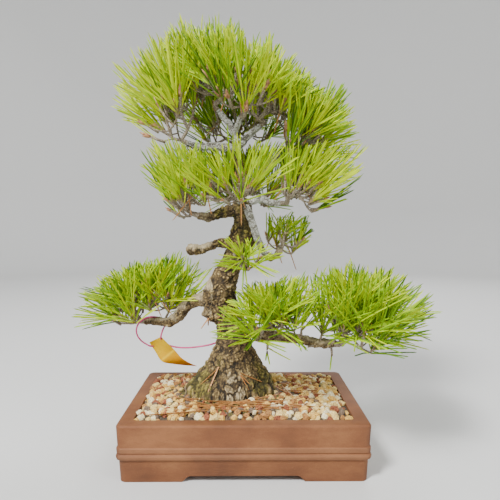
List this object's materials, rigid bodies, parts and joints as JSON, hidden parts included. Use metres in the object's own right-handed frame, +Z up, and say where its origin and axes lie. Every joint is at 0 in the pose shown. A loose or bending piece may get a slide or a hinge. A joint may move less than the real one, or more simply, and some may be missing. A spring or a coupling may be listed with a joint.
{
  "type": "japanese black pine bonsai in a rectangular pot",
  "caption": "Potted Japanese black pine bonsai with a flared, leaning trunk, tiered boughs of long upright needles, and a gravel-topped rectangular clay pot.",
  "frame": {"origin": "on the ground under the middle of the pot, which is the bottom centre of the whole bonsai's box", "axes": "+Z up, +X to the viewer's right along the pot's long side, -Y towards the viewer"},
  "size_m": [0.5263, 0.3228, 0.5867],
  "materials": {
    "clay": "unglazed, matte brown",
    "gravel": "loose pumice stones, cream, white and tan",
    "old_bark": "rough plated bark with moss at the foot",
    "grey_bark": "smoother grey bark of the upper limbs",
    "needles_bright": "long yellow-green needles",
    "needles_cool": "long mid-green needles",
    "needles_dark": "shaded dark green needles",
    "tag_yellow": "blank soft yellow plastic",
    "band_pink": "pink plastic band"
  },
  "bodies": {
    "root": {"pot": "clay", "soil": "gravel", "trunk": "old_bark", "dead_stub": "old_bark", "low_left_bough": "old_bark", "low_right_bough": "old_bark", "low_right_inner_bough": "old_bark", "front_twig": "old_bark", "hanging_branch": "grey_bark", "small_right_bough": "old_bark", "crown_left_bough": "old_bark", "crown_right_bough": "grey_bark", "crown_front_bough": "grey_bark", "crown_back_bough": "grey_bark", "right_rising_bough": "grey_bark", "upper_left_bough": "grey_bark", "upper_right_bough": "grey_bark", "leader_top": "grey_bark", "upper_front_bough": "grey_bark", "upper_back_bough": "grey_bark", "low_left_needles": "needles_cool", "low_right_inner_needles": "needles_bright", "low_right_outer_needles": "needles_bright", "small_back_needles": "needles_dark", "front_needles": "needles_bright", "crown_left_needles": "needles_bright", "crown_right_needles": "needles_bright", "crown_front_needles": "needles_bright", "crown_back_needles": "needles_cool", "right_needles": "needles_bright", "upper_left_needles": "needles_bright", "upper_right_needles": "needles_bright", "top_needles": "needles_bright", "upper_front_needles": "needles_bright", "upper_back_needles": "needles_cool", "tag": "tag_yellow", "tag_band": "band_pink"}
  },
  "joints": []
}
